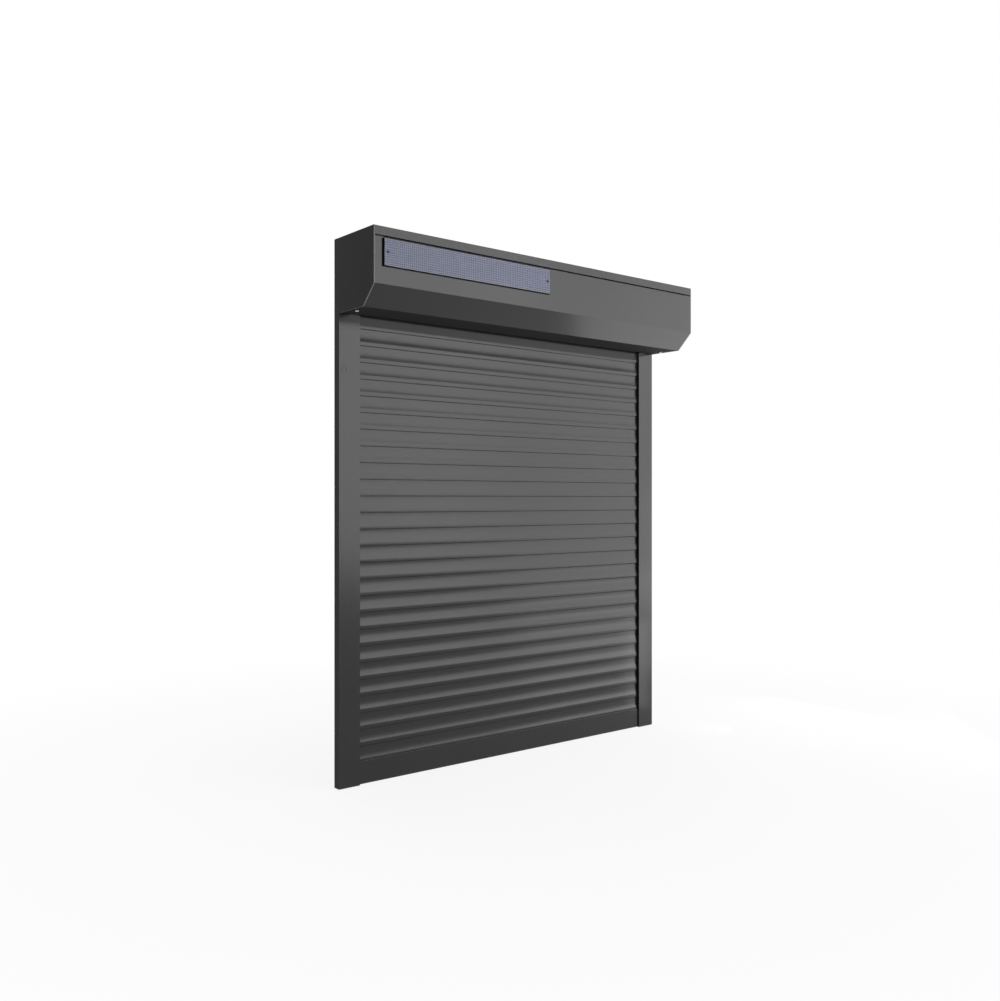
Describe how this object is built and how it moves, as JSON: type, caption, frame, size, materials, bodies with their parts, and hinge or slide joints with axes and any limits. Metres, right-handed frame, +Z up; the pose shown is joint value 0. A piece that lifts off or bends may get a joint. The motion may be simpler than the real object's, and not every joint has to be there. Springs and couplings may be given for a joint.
{
  "type": "exterior roller shutter",
  "caption": "Exterior roller shutter with slanted box, guide rails, interlocking hollow slats, bottom bar, tube motor and a solar panel on the box front.",
  "frame": {"origin": "centre of the four wall screws, on the wall plane", "axes": "+X to the right seen from outdoors, -Y outdoors, +Z up"},
  "size_m": [1.005, 0.1662, 1.2],
  "materials": {
    "box_coat": "satin powder coat, anthracite grey",
    "cap_coat": "satin powder coat, anthracite grey",
    "rail_coat": "satin powder coat, anthracite grey",
    "slat_coat": "smooth coil coat, anthracite grey",
    "bar_coat": "satin powder coat, anthracite grey",
    "seal_rubber": "matt black",
    "black_plastic": "fine grain, black",
    "cap_plastic": "fine grain, anthracite grey",
    "galvanised": "galvanised",
    "spring_steel": "blued spring steel",
    "motor_tube": "drawn",
    "machined_steel": "turned",
    "bearing_steel": "ground",
    "panel_frame": "black",
    "panel_cells": "glass over dark blue cells with fine bright lines",
    "black_screw": "black",
    "zinc_screw": "zinc plated",
    "battery_wrap": "shrink wrap"
  },
  "bodies": {
    "frame": {"box_top_shell": "box_coat", "box_front_cover": "box_coat", "end_cap_left": "cap_coat", "end_cap_right": "cap_coat", "rail_left": "rail_coat", "rail_right": "rail_coat", "rail_seals": "seal_rubber", "rail_feet": "black_plastic", "rail_plugs": "cap_plastic", "inlet_guides": "black_plastic", "hanger_straps": "spring_steel", "motor_bracket": "galvanised", "motor_head": "black_plastic", "motor_housing": "motor_tube", "gear_motor": "machined_steel", "bearing_outer_ring": "bearing_steel", "bearing_holder": "galvanised", "solar_tray": "panel_frame", "solar_laminate": "panel_cells", "solar_screws": "black_screw", "box_screws": "zinc_screw", "battery_pack": "battery_wrap"},
    "tube": {"winding_tube": "galvanised", "motor_crown": "black_plastic", "output_shaft": "machined_steel", "drive_wheel": "black_plastic", "idle_cap": "black_plastic", "idle_pin": "machined_steel", "bearing_inner_ring": "bearing_steel"},
    "ball_cage": {"bearing_balls": "bearing_steel"},
    "curtain": {"bottom_bar": "bar_coat", "bar_seal": "seal_rubber", "bar_end_plugs": "black_plastic", "slat_01": "slat_coat", "slat_02": "slat_coat", "slat_03": "slat_coat", "slat_04": "slat_coat", "slat_05": "slat_coat", "slat_06": "slat_coat", "slat_07": "slat_coat", "slat_08": "slat_coat", "slat_09": "slat_coat", "slat_10": "slat_coat", "slat_11": "slat_coat", "slat_12": "slat_coat", "slat_13": "slat_coat", "slat_14": "slat_coat", "slat_15": "slat_coat", "slat_16": "slat_coat", "slat_17": "slat_coat", "slat_18": "slat_coat", "slat_19": "slat_coat", "slat_20": "slat_coat", "slat_21": "slat_coat", "slat_22": "slat_coat", "slat_23": "slat_coat", "slat_24": "slat_coat", "slat_25": "slat_coat", "slat_26": "slat_coat", "slat_27": "slat_coat"}
  },
  "joints": [
    {"name": "curtain_lift", "type": "slide", "parent": "frame", "child": "curtain", "axis": [0, 0, 1], "range_m": [0, 0.135], "deforming": ["hanger_straps"]},
    {"name": "tube_spin", "type": "hinge", "parent": "frame", "child": "tube", "pos_m": [0, -0.08, 0.6], "axis": [1, 0, 0], "range_deg": [0, 250]},
    {"name": "ball_cage_spin", "type": "hinge", "parent": "frame", "child": "ball_cage", "pos_m": [0, -0.08, 0.6], "axis": [1, 0, 0], "range_deg": [0, 95]}
  ],
  "couplings": [
    {"joint": "tube_spin", "follows": "curtain_lift", "rad_per_m": 32.258},
    {"joint": "ball_cage_spin", "follows": "curtain_lift", "rad_per_m": 12.258}
  ]
}
